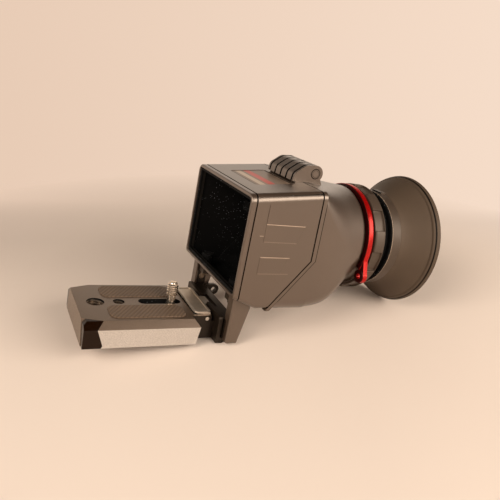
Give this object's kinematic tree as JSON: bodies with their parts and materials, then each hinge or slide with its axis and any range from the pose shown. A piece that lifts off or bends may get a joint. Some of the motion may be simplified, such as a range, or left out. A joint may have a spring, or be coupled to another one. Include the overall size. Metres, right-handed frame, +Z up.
{
  "type": "lcd viewfinder",
  "caption": "Optical viewfinder for a camera's rear screen: quick-release base plate, latch, window box, flip-up lens unit with diopter ring and round rubber eyecup.",
  "frame": {"origin": "axis of the 1/4 inch tripod socket, on the underside of the base plate", "axes": "X across (to the right seen from the window), +Y from the window to the eye, +Z up"},
  "size_m": [0.0842, 0.2065, 0.1045],
  "materials": {
    "plate_alu": "bead-blasted, anodised warm grey",
    "stop_black": "glossy black",
    "pad_rubber": "fine diagonal texture",
    "nickel_steel": "brushed, nickel plated",
    "screw_steel": "turned, bright thread",
    "black_steel": "blackened steel",
    "black_alu": "black anodised, satin",
    "body_plastic": "satin black, fine grain",
    "inner_black": "dead matt black",
    "seal_rubber": "soft black rubber",
    "label_pale": "satin, pale",
    "red_alu": "bright red anodised",
    "magnet": "nickel plated",
    "spring_steel": "bare spring steel",
    "glass": "coated optical glass",
    "cup_rubber": "matt black rubber",
    "washer_bronze": "plain bronze"
  },
  "bodies": {
    "base": {"base_plate": "plate_alu", "rail_stops": "stop_black", "pad_near": "pad_rubber", "pad_far": "pad_rubber", "latch_pin": "nickel_steel", "latch_springs": "spring_steel", "bracket_plate": "black_alu", "bracket_screws": "black_steel"},
    "slider": {"screw_slider": "nickel_steel"},
    "screw": {"camera_screw": "screw_steel"},
    "latch": {"latch_lever": "nickel_steel"},
    "viewfinder": {"u_frame": "black_alu", "leg_near": "body_plastic", "leg_far": "body_plastic", "leg_screws": "black_steel", "frame_bolts": "black_steel", "front_bezel": "body_plastic", "window_gasket": "seal_rubber", "front_housing": "body_plastic", "label_panel": "label_pale", "front_magnets": "magnet", "hinge_cover": "body_plastic", "cover_screws": "black_steel", "hinge_pin": "black_steel", "pin_caps": "body_plastic", "hinge_washers": "washer_bronze"},
    "eyepiece_unit": {"rear_housing": "body_plastic", "rear_magnets": "magnet", "field_mask": "inner_black", "diopter_circlip": "spring_steel"},
    "strap": {"strap_ring": "red_alu"},
    "diopter": {"diopter_ring": "body_plastic"},
    "eyepiece": {"eyepiece_barrel": "black_alu", "guide_key": "nickel_steel", "barrel_oring": "seal_rubber", "front_lens": "glass", "lens_spacer": "inner_black", "rear_lens": "glass", "lens_retainer": "inner_black", "cup_ring": "body_plastic", "eyecup": "cup_rubber"}
  },
  "joints": [
    {"name": "slider_slide", "type": "slide", "parent": "base", "child": "slider", "axis": [0, 1, 0], "range_m": [-0.015, 0.0018]},
    {"name": "screw_turn", "type": "hinge", "parent": "slider", "child": "screw", "pos_m": [0, 0.0301, 0.0045], "axis": [0, 0, 1], "continuous": true},
    {"name": "latch_press", "type": "hinge", "parent": "base", "child": "latch", "pos_m": [0, 0.046, 0.0119], "axis": [1, 0, 0], "range_deg": [0, 8], "stiffness_Nm_per_rad": 0.15, "springref_deg": -11.46, "deforming": ["latch_springs"]},
    {"name": "frame_lift", "type": "slide", "parent": "base", "child": "viewfinder", "axis": [0, 0, 1], "range_m": [0, 0.01]},
    {"name": "flip_hinge", "type": "hinge", "parent": "viewfinder", "child": "eyepiece_unit", "pos_m": [0, 0.0981, 0.0997], "axis": [1, 0, 0], "range_deg": [0, 105]},
    {"name": "strap_turn", "type": "hinge", "parent": "eyepiece_unit", "child": "strap", "pos_m": [0, 0.1358, 0.0604], "axis": [0, 1, 0], "continuous": true},
    {"name": "diopter_turn", "type": "hinge", "parent": "eyepiece_unit", "child": "diopter", "pos_m": [0, 0.1429, 0.0604], "axis": [0, 1, 0], "range_deg": [-180, 90]},
    {"name": "focus_slide", "type": "slide", "parent": "eyepiece_unit", "child": "eyepiece", "axis": [0, 1, 0], "range_m": [-0.006, 0.003]}
  ],
  "couplings": [
    {"joint": "diopter_turn", "follows": "focus_slide", "rad_per_m": 523.6}
  ]
}
